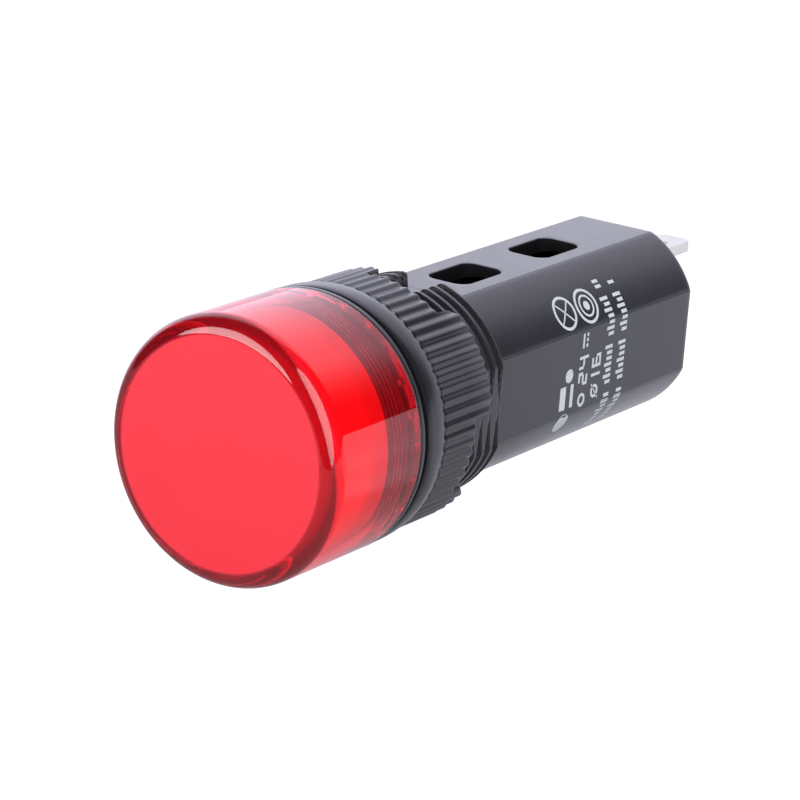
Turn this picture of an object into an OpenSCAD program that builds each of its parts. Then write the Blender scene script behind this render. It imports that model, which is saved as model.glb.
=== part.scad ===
// Panel pilot light for a 16 mm hole: screw-on clear lens, milky diffuser, threaded barrel with
// a ribbed castellated nut, and a lamp board and driver board inside. All lengths in millimetres.
// The lamp's axis lies along Y. The lens looks towards -Y, the flat with the windows faces +Z,
// and the origin is the middle of the plane where the panel's front face lies.

/* [Barrel] */
// Diameter over the barrel's thread crests, which goes through the panel's hole
thread_d = 15.8; // [14.2:0.1:17.4]
// Depth of the barrel's thread
thread_depth = 0.65; // [0.4:0.05:0.8]
// Distance from one thread crest to the next
thread_pitch = 1; // [0.8:0.1:1.2]
// Number of thread grooves on the barrel
thread_turns = 11; // [9:1:12]
// Depth of the flats that cut the two sides of the thread
thread_flat = 0.55; // [0.3:0.05:0.6]
// Width of the locating groove along the top of the thread
keyway_w = 3.2; // [2:0.1:4]
// Thickness of the flange behind the lens
flange_t = 0.45; // [0.4:0.05:1]
// Thickness of the rubber gasket in front of the panel
gasket_t = 0.5; // [0.4:0.05:0.8]
// How far the gasket's rim lies inside the flange's rim
gasket_inset = 0.1; // [0.05:0.05:0.7]

/* [Lens] */
// Thickness of the lens's side wall
lens_wall = 1.13; // [0.9:0.01:1.6]
// Length of the lens from its rear edge to its front face
lens_len = 9.75; // [8.7:0.05:13]
// Thickness of the lens's front wall
lens_face_t = 1.15; // [0.8:0.05:1.6]
// Radius of the lens's front edge
lens_edge_r = 1.25; // [0.4:0.05:1.3]
// Number of grip notches inside the lens's rear edge
lens_notch_count = 24; // [12:1:36]
// Pitch of the fine thread that holds the lens
nose_pitch = 0.4; // [0.4:0.05:0.65]
// Number of turns of the fine thread that holds the lens
nose_turns = 4; // [3:1:5]
// Thickness of the diffuser's wall
diffuser_t = 0.8; // [0.6:0.05:1]

/* [Housing] */
// How far the plain housing lies inside the thread crests, so that the nut passes over it
body_step = 0.5; // [0.4:0.05:0.7]
// Depth of the four flats on the housing
flat_depth = 0.65; // [0.4:0.05:0.8]
// Thickness of the housing's wall at the flats
wall_t = 0.85; // [0.7:0.05:1.2]
// Distance from the panel's front face to the housing's rear end
body_rear = 38.3; // [37:0.1:46]
// Width of each window in the top flat
window_w = 3.2; // [2:0.1:4]
// Length of each window in the top flat
window_l = 5.3; // [3:0.1:6]
// Distance from the panel's front face to the middle of the first window
window_first = 17.4; // [15.4:0.1:19]
// Distance between the middles of the two windows
window_gap = 10.4; // [8:0.1:12]

/* [Nut] */
// How far the nut's collar lies inside the flange's rim
collar_inset = 0.05; // [0:0.05:0.3]
// How far the nut's ribs lie inside its collar
rib_inset = 0.25; // [0.1:0.05:0.4]
// Length of the nut without its four castles
nut_len = 6.2; // [5:0.1:7]
// Length of the castles on the nut's rear edge
castle_len = 1.95; // [1:0.05:2.2]
// Angle round the axis that each castle spans
castle_wide = 50; // [40:1:55]
// Number of ribs around the nut
rib_count = 64; // [48:4:72]
// Length of the nut's smooth collar
collar_len = 1.85; // [1.5:0.05:3]

/* [Terminals] */
// Width of each blade terminal
blade_w = 2.8; // [2.4:0.1:3.2]
// Thickness of each blade terminal
blade_t = 0.8; // [0.5:0.05:1]
// Length of each blade behind the housing
blade_out = 9.5; // [6:0.1:11]
// Distance between the middles of the two blades
blade_spacing = 7.3; // [6.6:0.1:7.6]
// Diameter of the wire hole in each blade
blade_hole_d = 1.2; // [0.8:0.1:1.5]

/* [Boards] */
// Number of lamps around the central lamp
lamp_count = 6; // [4:1:6]
// Thickness of both circuit boards
board_t = 1; // [0.8:0.1:1.2]
// Diameter of the capacitor
cap_d = 4; // [3.5:0.1:4.5]

/* [Hidden] */

smooth = 96;
fine = 24;
slip = 0.07;
seat = 0.05;
cut = 1;

// Stations along the axis
flange_rear = -gasket_t;
flange_front = flange_rear - flange_t;
lens_rear = flange_front - seat;
lens_front = lens_rear - lens_len;
nose_plain = 1;
nose_lead = 0.2;
nose_front = flange_front - nose_plain - nose_turns * nose_pitch - nose_lead;
thread_start = 0.35;
thread_end = thread_start + thread_turns * thread_pitch;

// Lens, nose and diffuser
nose_step = 0.05;
nose_depth = 0.2;
nose_wall = 1.05;
nose_r = thread_d / 2 - nose_step;
nose_root_r = nose_r - nose_depth;
lens_bore_r = nose_r + slip;
lens_r = lens_bore_r + lens_wall;
nose_bore_r = nose_root_r - nose_wall;
notch_side = 0.48;
notch_w = 0.5;
diffuser_play = 0.2;
diffuser_r = lens_bore_r - diffuser_play;
diffuser_front = lens_front + lens_face_t + diffuser_play / 2;
diffuser_rear = nose_front - seat;
skirt_r = nose_bore_r - slip;
skirt_bore_r = skirt_r - diffuser_t / 2;
skirt_len = 0.8;

// Barrel and housing
thread_r = thread_d / 2;
thread_root_r = thread_r - thread_depth;
thread_flat_r = thread_r - thread_flat;
crest_part = 0.34;
root_part = 0.26;
body_r = thread_r - body_step;
flat_r = body_r - flat_depth;
bore_r = flat_r - wall_t;
rear_edge_r = 0.12;
window_corner_r = 0.9;

// Nut
nut_bore_r = thread_r + slip;
collar_r = lens_r - collar_inset;
nut_r = collar_r - rib_inset;
groove_r = 0.28;
groove_gap = 0.1;
collar_edge_r = 0.4;
nut_entry = 0.3;
castle_count = 4;
slot_wide = 360 / castle_count - castle_wide;
castle_phase = 5;

// Rear base
base_lip = 0.25;
base_r = bore_r + base_lip;
base_t = 2.2;
base_inset = 0.3;
base_front = body_rear - base_t;
snap_out = 0.25;
snap_w = 2;
snap_len = 0.8;
blade_tail = 1.6;
blade_tip_cut = 0.5;
blade_hole_back = 2.5;
boss_h = 0.5;
boss_wall = 0.7;

// Boards
led_board_r = nose_bore_r - seat;
led_board_inset = 0.3;
led_board_rear = flange_front - led_board_inset;
led_board_front = led_board_rear - board_t;
lead_r = 0.25;
lead_out = 0.9;
board_z = -board_t / 2;
board_gap = 1.8;
board_start = led_board_rear + board_gap;
board_slot = 0.8;
board_end = base_front + board_slot;
board_play = 0.1;
board_half_w = sqrt(bore_r * bore_r - board_t * board_t / 4) - board_play;
rail_w = 0.7;
rail_t = 0.8;
rail_gap = 0.05;
rail_bite = 0.2;

// Lamps, as large as fit side by side within the diffuser's skirt
lamp_play = 0.43;
lamp_flange = 0.35;
lamp_flange_t = 1;
lamp_gap = 0.5;
lamp_height = 3.6;
lamp_first = 30;
lamp_r = (skirt_bore_r - lamp_play - 2 * lamp_flange - lamp_gap) / 3;
lamp_ring_r = skirt_bore_r - lamp_play - lamp_r;
lead_inset = 0.23;
lead_gap = lamp_r - lead_inset;

// Parts on the driver board, in a row from its front end
lead_reach = 0.8;
bridge_space = 2.65;
bridge_w = 4.8;
bridge_l = 4.4;
bridge_h = 2;
bridge_y = board_start + bridge_space + bridge_l / 2;
bridge_leg_w = 0.6;
bridge_leg_t = 0.25;
bridge_leg_out = 0.6;
bridge_leg_h = 1.15;
bridge_leg_pitch = 2.54;
bridge_gap = 0.2;
bridge_notch_r = 0.5;
bridge_notch_deep = 0.2;
resistor_space = 2.1;
resistor_r = 1.1;
resistor_len = 5.6;
resistor_cap = 1.4;
resistor_waist = 0.82;
resistor_y = bridge_y + bridge_l / 2 + resistor_space + resistor_len / 2;
resistor_x = 2.2;
zener_space = 1.2;
zener_r = 0.9;
zener_len = 3.6;
zener_y = resistor_y + resistor_len / 2 + zener_space + zener_len / 2;
cap_space = 2.4;
cap_len = 7;
cap_y = zener_y + zener_len / 2 + cap_space;
cap_z = board_t / 2 + cap_d / 2;
cap_pin_r = 0.25;
cap_pin_x = 1;
cap_reach = 0.9;
cap_groove_back = 1;
cap_groove_r = 0.35;
cap_groove_out = 0.15;
chip_l = 2;
chip_w = 1.25;
chip_h = 0.55;
chip_count = 5;
chip_first = 8;
chip_pitch = 4;
link_x = 2.54;
link_w = 0.6;
link_rest = 2;
wire_r = 0.5;
wire_bend_r = 0.9;
feed_run = 0.6;
solder_r = 0.5;
solder_h = 0.5;

// Turns a profile of [radius, y] about the lamp's axis
module revolve() {
    rotate([-90, 0, 0]) rotate_extrude($fn = smooth) children();
}

// A rod along the lamp's axis from y1 to y2
module rod_y(r, y1, y2, x = 0, z = 0) {
    translate([x, y1, z]) rotate([-90, 0, 0]) cylinder(r = r, h = y2 - y1, $fn = fine);
}

// A rod along Z from z1 to z2
module rod_z(r, z1, z2, x, y) {
    translate([x, y, z1]) cylinder(r = r, h = z2 - z1, $fn = fine);
}

// A block given by the middle of its width, its y range and its z range
module block(w, y1, y2, z1, z2, x = 0) {
    translate([x - w / 2, y1, z1]) cube([w, y2 - y1, z2 - z1]);
}

// A square of the profile plane between two radii and two stations
module band(r1, r2, y1, y2) {
    translate([r1, y1]) square([r2 - r1, y2 - y1]);
}

// Copies its children round the lamp's axis
module ring(count, first = 0) {
    for (i = [0:count - 1]) {
        rotate([0, -(first + i * 360 / count), 0]) children();
    }
}

// Outline points of a ring-cut thread, from y1 towards y2
function thread_points(crest, root, y1, pitch, turns) = [
    for (i = [0:turns - 1])
        let (y = y1 + i * pitch, slope = (1 - crest_part - root_part) * pitch / 2)
            each [[crest, y], [root, y + slope], [root, y + slope + root_part * pitch],
                [crest, y + 2 * slope + root_part * pitch]]
];

module lens_cap() {
    color([0.85, 0.04, 0.08, 0.6])
    difference() {
        revolve()
        difference() {
            union() {
                band(0, lens_r, lens_front + lens_edge_r, lens_rear);
                band(0, lens_r - lens_edge_r, lens_front, lens_front + lens_edge_r);
                translate([lens_r - lens_edge_r, lens_front + lens_edge_r])
                    circle(r = lens_edge_r, $fn = smooth);
            }
            band(-cut, lens_bore_r, lens_front + lens_face_t, lens_rear + cut);
        }
        ring(lens_notch_count)
            translate([lens_bore_r, lens_rear, 0])
                rotate([0, 0, 45])
                    cube([notch_side, notch_side, notch_w], center = true);
    }
}

module diffuser() {
    color([0.95, 0.35, 0.38])
    revolve()
    difference() {
        union() {
            band(0, diffuser_r - diffuser_t, diffuser_front, diffuser_front + diffuser_t);
            band(0, diffuser_r, diffuser_front + diffuser_t, diffuser_rear);
            translate([diffuser_r - diffuser_t, diffuser_front + diffuser_t])
                circle(r = diffuser_t, $fn = smooth);
            band(0, skirt_r, diffuser_rear - seat, diffuser_rear + skirt_len);
        }
        band(-cut, skirt_bore_r, diffuser_front + diffuser_t, diffuser_rear + cut);
    }
}

// Round blank of the housing with both threads
module housing_blank() {
    revolve()
    polygon(concat(
        [[0, nose_front], [nose_root_r, nose_front], [nose_r, nose_front + nose_lead]],
        thread_points(nose_r, nose_root_r, nose_front + nose_lead, nose_pitch, nose_turns),
        [[nose_r, flange_front - nose_plain], [nose_root_r, flange_front - nose_plain],
            [nose_root_r, flange_front], [lens_r, flange_front], [lens_r, flange_rear],
            [thread_r, flange_rear]],
        thread_points(thread_r, thread_root_r, thread_start, thread_pitch, thread_turns),
        [[thread_r, thread_end], [body_r, thread_end], [body_r, body_rear - rear_edge_r],
            [body_r - rear_edge_r, body_rear], [0, body_rear]]
    ));
}

// What the flats, the keyway and the side cuts take off the blank
module housing_flats() {
    long = body_rear - thread_end + cut;
    for (turn = [0:90:270]) {
        rotate([0, turn, 0])
            translate([flat_r, thread_end, -thread_d]) cube([thread_d, long, 2 * thread_d]);
    }
    for (side = [0, 180]) {
        rotate([0, side, 0])
            translate([thread_flat_r, thread_start, -thread_d])
                cube([thread_d, thread_end - thread_start + cut, 2 * thread_d]);
    }
    block(keyway_w, flange_rear, thread_end + cut, flat_r, thread_d);
}

module window(y) {
    corner_x = window_w / 2 - window_corner_r;
    corner_y = window_l / 2 - window_corner_r;
    translate([0, y, flat_r / 2]) {
        translate([-window_w / 2, -corner_y, 0]) cube([window_w, 2 * corner_y, thread_d]);
        translate([-corner_x, -window_l / 2, 0]) cube([2 * corner_x, window_l, thread_d]);
        for (sx = [-1, 1], sy = [-1, 1]) {
            translate([sx * corner_x, sy * corner_y, 0])
                cylinder(r = window_corner_r, h = thread_d, $fn = fine);
        }
    }
}

// Rails inside the hollow that hold the driver board's long edges
module rails() {
    for (sx = [-1, 1], sz = [-1, 1]) {
        z1 = board_t / 2 + rail_gap;
        intersection() {
            rod_y(bore_r + rail_bite, board_start, base_front);
            translate([sx * (bore_r + rail_bite - rail_w / 2), 0, sz * (z1 + rail_t / 2)])
                translate([-rail_w, board_start, -rail_t / 2])
                    cube([2 * rail_w, base_front - board_start, rail_t]);
        }
    }
}

// Four bumps that hold the rear base, at the corners between the flats
module snap_bumps(extra = 0) {
    intersection() {
        rod_y(base_r + snap_out + extra, base_front, body_rear);
        for (turn = [45:90:315]) {
            rotate([0, turn, 0])
                translate([base_r - cut, base_front + snap_len - extra, -snap_w / 2 - extra])
                    cube([2 * cut, snap_len + 2 * extra, snap_w + 2 * extra]);
        }
    }
}

module housing() {
    color([0.1, 0.1, 0.12]) {
        difference() {
            housing_blank();
            housing_flats();
            rod_y(bore_r, nose_front - cut, body_rear + cut);
            rod_y(nose_bore_r, nose_front - cut, led_board_rear);
            rod_y(base_r, base_front, body_rear + cut);
            snap_bumps(seat);
            window(window_first);
            window(window_first + window_gap);
        }
        rails();
    }
}

module panel_gasket() {
    color([0.05, 0.05, 0.06])
    revolve()
        band(nut_bore_r, lens_r - gasket_inset, flange_rear, 0);
}

// Revolved blank of the nut: collar, ribbed sleeve and castle ring
module nut_blank() {
    edge = collar_edge_r;
    revolve()
    difference() {
        union() {
            band(nut_bore_r, collar_r, edge, collar_len - edge / 2);
            band(nut_bore_r, collar_r - edge, 0, collar_len);
            translate([collar_r - edge, edge]) circle(r = edge, $fn = smooth);
            polygon([[nut_r, collar_len - edge / 2], [collar_r, collar_len - edge / 2],
                [nut_r, collar_len]]);
            band(nut_bore_r, nut_r, collar_len - edge / 2, nut_len + castle_len);
        }
        polygon([[nut_bore_r - cut, -cut], [nut_bore_r + nut_entry + cut, -cut],
            [nut_bore_r - cut, cut + nut_entry]]);
    }
}

module nut() {
    color([0.13, 0.13, 0.15])
    difference() {
        nut_blank();
        ring(rib_count)
            translate([nut_r, collar_len + groove_gap, 0]) rotate([-90, 0, 0]) {
                cylinder(r1 = groove_r / 2, r2 = groove_r, h = groove_r, $fn = fine);
                translate([0, 0, groove_r])
                    cylinder(r = groove_r, h = nut_len + castle_len, $fn = fine);
            }
        ring(castle_count, castle_phase + castle_wide)
            translate([0, nut_len, 0]) rotate([90, 0, 0])
                mirror([0, 0, 1]) linear_extrude(castle_len + cut)
                    polygon([[0, 0], [2 * nut_r, 0],
                        [2 * nut_r, 2 * nut_r * tan(slot_wide)]]);
    }
}

// Middles of the lamps, with the central one first
function lamp_places() = concat([[0, 0]],
    [for (i = [0:lamp_count - 1])
        let (turn = lamp_first + i * 360 / lamp_count)
            [lamp_ring_r * cos(turn), lamp_ring_r * sin(turn)]]);

module led_board() {
    color([0.9, 0.9, 0.86])
    difference() {
        rod_y(led_board_r, led_board_front, led_board_rear);
        for (p = lamp_places(), side = [-1, 1]) {
            rod_y(lead_r + seat, led_board_front - cut, led_board_rear + cut,
                p[0] + side * lead_gap, p[1]);
        }
    }
}

module leds() {
    flange_y = led_board_front - lamp_flange_t;
    dome_y = led_board_front - lamp_height;
    color([0.9, 0.1, 0.1])
    for (p = lamp_places()) {
        rod_y(lamp_r + lamp_flange, flange_y, led_board_front, p[0], p[1]);
        rod_y(lamp_r, dome_y, flange_y, p[0], p[1]);
        translate([p[0], dome_y, p[1]]) sphere(r = lamp_r, $fn = fine);
    }
}

module led_leads() {
    color([0.8, 0.8, 0.82])
    for (p = lamp_places(), side = [-1, 1]) {
        rod_y(lead_r, led_board_front, led_board_rear + lead_out,
            p[0] + side * lead_gap, p[1]);
    }
}

module driver_board() {
    color([0.1, 0.3, 0.14])
        block(2 * board_half_w, board_start, board_end, board_z, board_z + board_t);
}

module link_pins() {
    color([0.8, 0.75, 0.5])
    for (side = [-1, 1]) {
        block(link_w, led_board_rear, board_start + link_rest, board_t / 2, board_t / 2 + link_w,
            side * link_x);
    }
}

module resistors() {
    body_z = board_t / 2 + resistor_r;
    color([0.75, 0.62, 0.42])
    for (side = [-1, 1]) {
        y1 = resistor_y - resistor_len / 2;
        rod_y(resistor_r * resistor_waist, y1, y1 + resistor_len, side * resistor_x, body_z);
        for (end = [0, resistor_len - resistor_cap]) {
            rod_y(resistor_r, y1 + end, y1 + end + resistor_cap, side * resistor_x, body_z);
        }
    }
}

// Bent wire from the end of an axial part to the board, as one solid
module axial_lead(x, y, dir, z, r) {
    y1 = dir > 0 ? y : y - lead_reach;
    rod_y(r, y1, y1 + lead_reach, x, z);
    translate([x, y + dir * lead_reach, z]) sphere(r = r, $fn = fine);
    rod_z(r, board_t / 2, z, x, y + dir * lead_reach);
}

module resistor_leads() {
    color([0.8, 0.8, 0.82])
    for (side = [-1, 1], dir = [-1, 1]) {
        axial_lead(side * resistor_x, resistor_y + dir * resistor_len / 2, dir,
            board_t / 2 + resistor_r, lead_r);
    }
}

module capacitor() {
    color([0.1, 0.12, 0.3])
    difference() {
        rod_y(cap_d / 2, cap_y, cap_y + cap_len, 0, cap_z);
        translate([0, cap_y + cap_len - cap_groove_back, cap_z]) rotate([-90, 0, 0])
            rotate_extrude($fn = smooth)
                translate([cap_d / 2 + cap_groove_out, 0]) circle(r = cap_groove_r, $fn = fine);
    }
}

module capacitor_leads() {
    bend_y = cap_y + cap_len + cap_reach;
    color([0.8, 0.8, 0.82])
    for (side = [-1, 1]) {
        x = side * cap_pin_x;
        rod_y(cap_pin_r, cap_y + cap_len, bend_y, x, cap_z);
        translate([x, bend_y, cap_z]) sphere(r = cap_pin_r, $fn = fine);
        rod_z(cap_pin_r, board_t / 2, cap_z, x, bend_y);
    }
}

module bridge_rectifier() {
    z = board_t / 2 + bridge_gap;
    color([0.08, 0.08, 0.09])
    difference() {
        block(bridge_w, bridge_y - bridge_l / 2, bridge_y + bridge_l / 2, z, z + bridge_h);
        rod_z(bridge_notch_r, z + bridge_h - bridge_notch_deep, z + bridge_h + cut, 0,
            bridge_y - bridge_l / 2);
    }
}

module rectifier_legs() {
    color([0.8, 0.8, 0.82])
    for (sx = [-1, 1], sy = [-1, 1]) {
        x = bridge_w / 2 + bridge_leg_out / 2;
        foot_x = bridge_w / 2 + bridge_leg_out - bridge_leg_t / 2;
        y1 = bridge_y + sy * bridge_leg_pitch / 2 - bridge_leg_w / 2;
        top = board_t / 2 + bridge_leg_h;
        block(bridge_leg_out, y1, y1 + bridge_leg_w, top - bridge_leg_t, top, sx * x);
        block(bridge_leg_t, y1, y1 + bridge_leg_w, board_t / 2, top, sx * foot_x);
    }
}

module zener_diode() {
    z = board_t / 2 + zener_r;
    color([0.85, 0.45, 0.2])
        rod_y(zener_r, zener_y - zener_len / 2, zener_y + zener_len / 2, 0, z);
    color([0.8, 0.8, 0.82])
    for (dir = [-1, 1]) {
        axial_lead(0, zener_y + dir * zener_len / 2, dir, z, lead_r);
    }
}

module chip_resistors() {
    color([0.12, 0.12, 0.13])
    for (i = [0:chip_count - 1]) {
        y = chip_first + i * chip_pitch;
        block(chip_l, y - chip_w / 2, y + chip_w / 2, -board_t / 2 - chip_h, -board_t / 2);
    }
}

module blade(side) {
    tip = body_rear + blade_out;
    tail = base_front - blade_tail;
    w = blade_w / 2;
    z = side * blade_spacing / 2 - blade_t / 2;
    color([0.86, 0.86, 0.84])
    difference() {
        translate([0, 0, z]) linear_extrude(blade_t)
            polygon([[-w, tail], [w, tail], [w, tip - blade_tip_cut],
                [w - blade_tip_cut, tip], [-w + blade_tip_cut, tip], [-w, tip - blade_tip_cut]]);
        rod_z(blade_hole_d / 2, z - cut, z + blade_t + cut, 0, tip - blade_hole_back);
    }
}

module terminal_upper() {
    blade(1);
}

module terminal_lower() {
    blade(-1);
}

module rear_base() {
    boss_w = blade_w + 2 * boss_wall;
    boss_t = blade_t + 2 * boss_wall;
    base_rear = body_rear - base_inset;
    color([0.09, 0.09, 0.1])
    difference() {
        union() {
            rod_y(base_r - seat, base_front, base_rear);
            snap_bumps();
            for (side = [-1, 1]) {
                z = side * blade_spacing / 2;
                block(boss_w, base_front, base_rear + boss_h, z - boss_t / 2, z + boss_t / 2);
            }
        }
        for (side = [-1, 1]) {
            z = side * blade_spacing / 2;
            block(blade_w + 2 * seat, base_front - cut, body_rear + cut,
                z - blade_t / 2 - seat, z + blade_t / 2 + seat);
        }
        block(2 * (board_half_w + seat), base_front - cut, board_end + seat,
            board_z - seat, board_z + board_t + seat);
    }
}

// One insulated wire from a blade's tail to the face of the driver board
module feed_wire(side) {
    bend_y = base_front - blade_tail - feed_run;
    mirror([0, 0, side > 0 ? 0 : 1]) {
        rod_y(wire_r, bend_y, bend_y + feed_run, 0, blade_spacing / 2);
        translate([0, bend_y, blade_spacing / 2 - wire_bend_r])
            rotate([0, -90, 0])
                rotate_extrude(angle = -90, $fn = smooth)
                    translate([wire_bend_r, 0]) circle(r = wire_r, $fn = fine);
        rod_z(wire_r, board_t / 2, blade_spacing / 2 - wire_bend_r, 0, bend_y - wire_bend_r);
    }
}

module feed_wires() {
    color([0.7, 0.1, 0.1]) feed_wire(1);
    color([0.1, 0.1, 0.1]) feed_wire(-1);
}

module solder_joints() {
    color([0.82, 0.82, 0.84])
    for (p = lamp_places(), side = [-1, 1]) {
        translate([p[0] + side * lead_gap, led_board_rear, p[1]]) rotate([-90, 0, 0])
            difference() {
                cylinder(r1 = solder_r, r2 = solder_r / 2, h = solder_h, $fn = fine);
                cylinder(r = lead_r + seat / 2, h = 2 * (solder_h + cut), center = true, $fn = fine);
            }
    }
}

lens_cap();
diffuser();
housing();
panel_gasket();
nut();
led_board();
leds();
led_leads();
driver_board();
link_pins();
resistors();
resistor_leads();
capacitor();
capacitor_leads();
bridge_rectifier();
rectifier_legs();
zener_diode();
chip_resistors();
rear_base();
terminal_upper();
terminal_lower();
feed_wires();
solder_joints();
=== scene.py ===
"""Looks of a panel pilot light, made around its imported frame.

Sizes are millimetres, and MM turns them into metres where a mesh is made. The lamp's axis lies along Y,
its lens looks towards -Y, and angles round the axis run in degrees from +X towards +Z.
"""

import logging
import math
from collections.abc import Callable, Iterable, Iterator, Sequence
from contextlib import contextmanager
from dataclasses import dataclass, field
from enum import Enum
from itertools import product

import bmesh
import bpy
from bmesh.types import BMesh, BMVert
from bpy.types import ID, Material, Mesh, Modifier, Node, NodeSocket, NodeTree, Object
from mathutils import Matrix, Vector


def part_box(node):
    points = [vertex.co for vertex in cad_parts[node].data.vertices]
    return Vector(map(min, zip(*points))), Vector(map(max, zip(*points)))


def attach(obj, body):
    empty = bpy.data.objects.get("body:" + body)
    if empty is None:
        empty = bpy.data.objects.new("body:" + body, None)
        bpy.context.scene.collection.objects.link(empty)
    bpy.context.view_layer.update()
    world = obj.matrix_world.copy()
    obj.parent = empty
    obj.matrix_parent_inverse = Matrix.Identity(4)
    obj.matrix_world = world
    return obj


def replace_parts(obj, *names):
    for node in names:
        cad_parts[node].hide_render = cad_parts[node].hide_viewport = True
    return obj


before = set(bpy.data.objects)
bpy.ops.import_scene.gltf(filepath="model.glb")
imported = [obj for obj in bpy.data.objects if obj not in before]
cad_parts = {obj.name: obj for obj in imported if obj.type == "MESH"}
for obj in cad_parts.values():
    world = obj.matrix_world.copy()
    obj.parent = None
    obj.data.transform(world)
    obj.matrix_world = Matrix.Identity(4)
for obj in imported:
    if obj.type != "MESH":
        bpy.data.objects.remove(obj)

MM = 0.001
SAME = 1e-8  # metres within which points are one
TINY = 1e-6  # keeps a divisor from 0
LOG = logging.getLogger("pilot_light")
Profile = list[tuple[float, float]]
Colour = tuple[float, float, float]
Fade = tuple[float, float, float, float]  # low, high, start and end, as Value.ramp takes them


class Body(Enum):
    """The frame's bodies that carry the lamp's pieces."""

    LAMP = "lamp_body"
    DIFFUSER = "diffuser_body"
    LENS = "lens_body"
    GASKET = "gasket_body"
    NUT = "nut_body"


# --- node graphs


class Value:
    """A number on a node's socket, so that node maths reads as an expression."""

    def __init__(self, graph: "Graph", socket: NodeSocket) -> None:
        """Wraps a socket of a graph."""
        self.graph = graph
        self.socket = socket

    def calc(self, operation: str, *others: "Value | float", flip: bool = False) -> "Value":
        """Adds a Math node.

        Args:
            operation: the Math node's operation.
            others: the operands after this one.
            flip: puts this value second, for reflected operators.

        Returns:
            The node's result.
        """
        terms = [self, *others]
        if flip:
            terms[0], terms[1] = terms[1], terms[0]
        made = self.graph.node("ShaderNodeMath", {"operation": operation}, dict(enumerate(terms)))
        return Value(self.graph, made.outputs[0])

    def __add__(self, other: "Value | float") -> "Value":
        """Adds."""
        return self.calc("ADD", other)

    __radd__ = __add__

    def __sub__(self, other: "Value | float") -> "Value":
        """Subtracts."""
        return self.calc("SUBTRACT", other)

    def __rsub__(self, other: float) -> "Value":
        """Subtracts, reflected."""
        return self.calc("SUBTRACT", other, flip=True)

    def __mul__(self, other: "Value | float") -> "Value":
        """Multiplies."""
        return self.calc("MULTIPLY", other)

    __rmul__ = __mul__

    def __truediv__(self, other: "Value | float") -> "Value":
        """Divides."""
        return self.calc("DIVIDE", other)

    def above(self, limit: "Value | float") -> "Value":
        """1 where this is above the limit, and 0 elsewhere."""
        return self.calc("GREATER_THAN", limit)

    def below(self, limit: "Value | float") -> "Value":
        """1 where this is below the limit, and 0 elsewhere."""
        return self.calc("LESS_THAN", limit)

    def ramp(self, low: float, high: float, start: float = 0.0, end: float = 1.0) -> "Value":
        """Turns the range low..high smoothly into start..end, and holds both ends beyond it."""
        inputs = dict(enumerate((self, low, high, start, end)))
        made = self.graph.node("ShaderNodeMapRange", {"interpolation_type": "SMOOTHSTEP"}, inputs)
        return Value(self.graph, made.outputs[0])


class Graph:
    """A node tree that is filled through one method."""

    def __init__(self, tree: NodeTree) -> None:
        """Starts from an empty tree."""
        self.tree = tree
        tree.nodes.clear()

    def node(self, kind: str, settings: dict | None = None, inputs: dict | None = None) -> Node:
        """Adds a node.

        Args:
            kind: the node's type.
            settings: properties of the node, which are set first.
            inputs: what goes on each socket, by name or number: a value, or a socket to link.

        Returns:
            The new node.
        """
        made = self.tree.nodes.new(kind)
        for name, setting in (settings or {}).items():
            setattr(made, name, setting)
        for key, given in (inputs or {}).items():
            given = given.socket if isinstance(given, Value) else given
            if isinstance(given, NodeSocket):
                self.tree.links.new(given, made.inputs[key])
            else:
                made.inputs[key].default_value = given
        return made

    def split(self, vector: NodeSocket) -> tuple[Value, Value, Value]:
        """The x, y and z of a vector socket."""
        made = self.node("ShaderNodeSeparateXYZ", {}, {0: vector})
        return tuple(Value(self, out) for out in made.outputs)

    def mix(self, factor: Value, first: Colour | NodeSocket, second: Colour | NodeSocket) -> NodeSocket:
        """Mixes two colours, where the factor is the second one's share."""
        first, second = (c if isinstance(c, NodeSocket) else (*c, 1.0) for c in (first, second))
        inputs = {0: factor, 6: first, 7: second}
        return self.node("ShaderNodeMix", {"data_type": "RGBA"}, inputs).outputs[2]


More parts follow.
